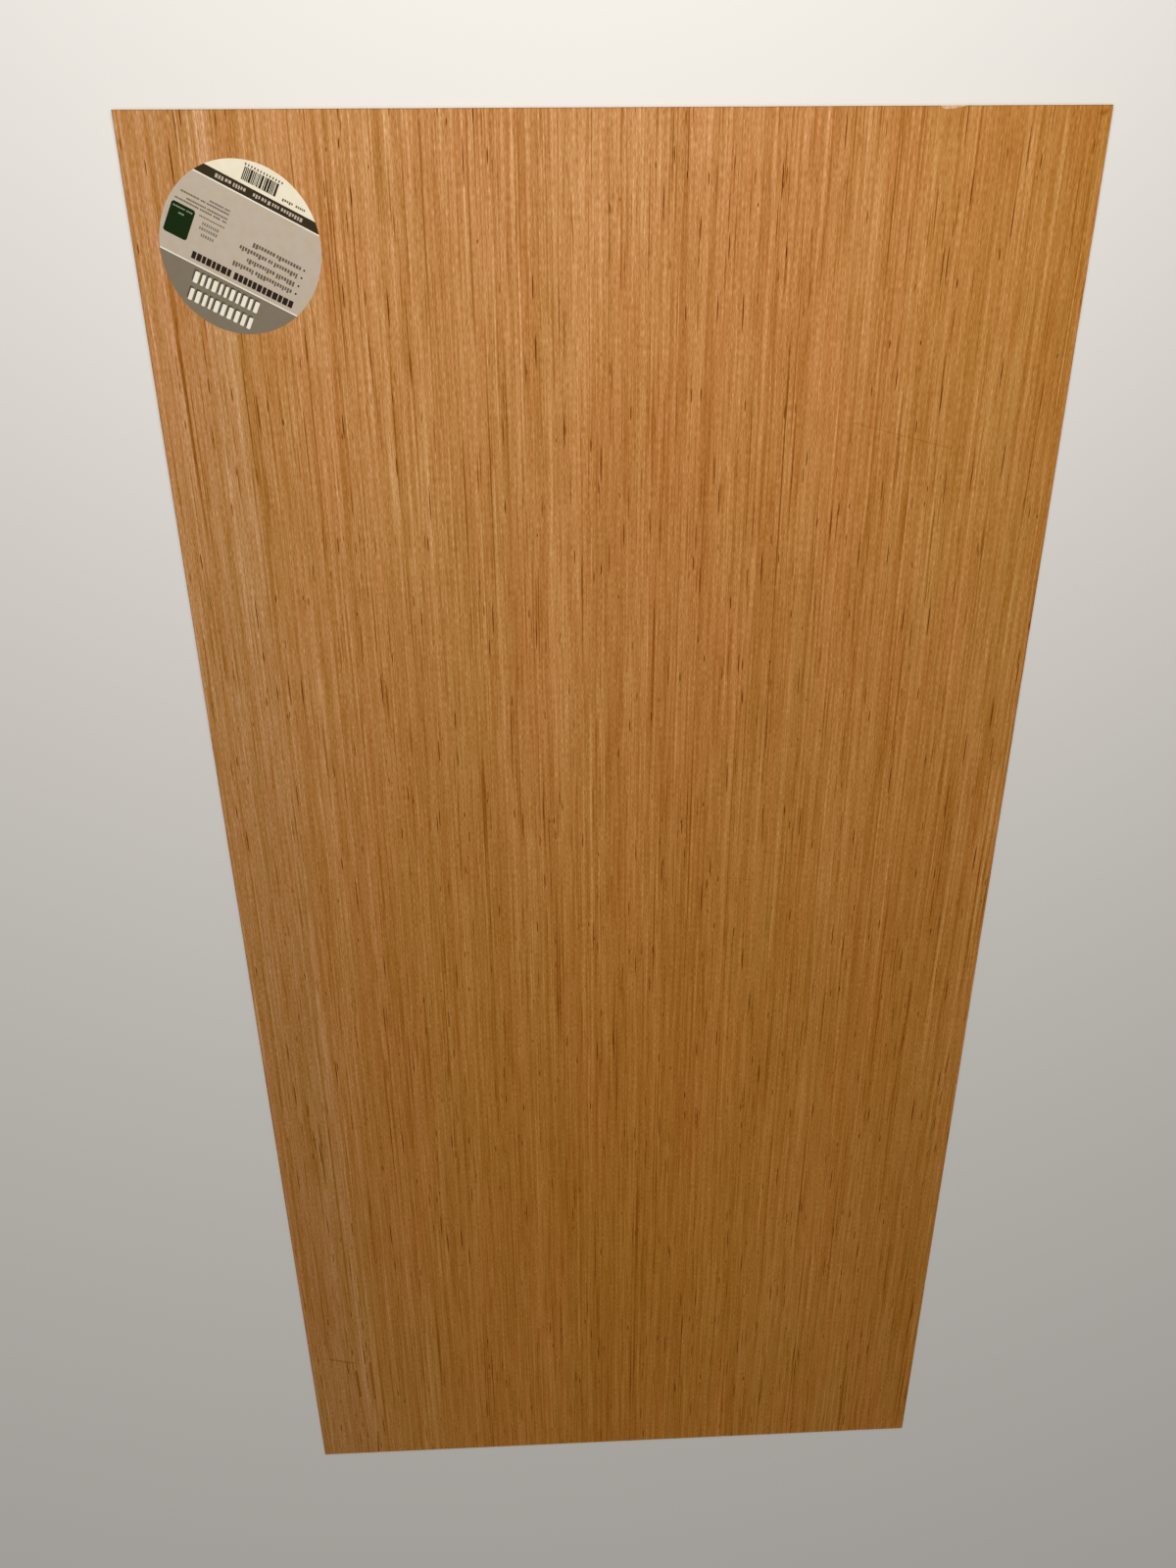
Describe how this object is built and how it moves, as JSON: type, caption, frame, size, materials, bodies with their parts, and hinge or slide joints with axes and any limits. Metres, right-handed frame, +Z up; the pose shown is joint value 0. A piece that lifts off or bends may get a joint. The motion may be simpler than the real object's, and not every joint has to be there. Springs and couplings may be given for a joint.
{
  "type": "plywood sheet",
  "caption": "Flat rectangular sheet of thin hardwood plywood with lengthwise grain and a round paper label near one corner of its face.",
  "frame": {"origin": "middle of the underside, on the floor the sheet lies on", "axes": "+X across the grain, +Y along the grain towards the labelled end, +Z up out of the labelled face"},
  "size_m": [0.61, 1.22, 0.0037],
  "materials": {
    "hardwood_plywood": "unfinished sanded veneer, straight reddish-tan grain along the length",
    "printed_paper": "smooth printed paper, slightly satin"
  },
  "bodies": {
    "root": {"plywood_sheet": "hardwood_plywood", "paper_label": "printed_paper"}
  },
  "joints": []
}
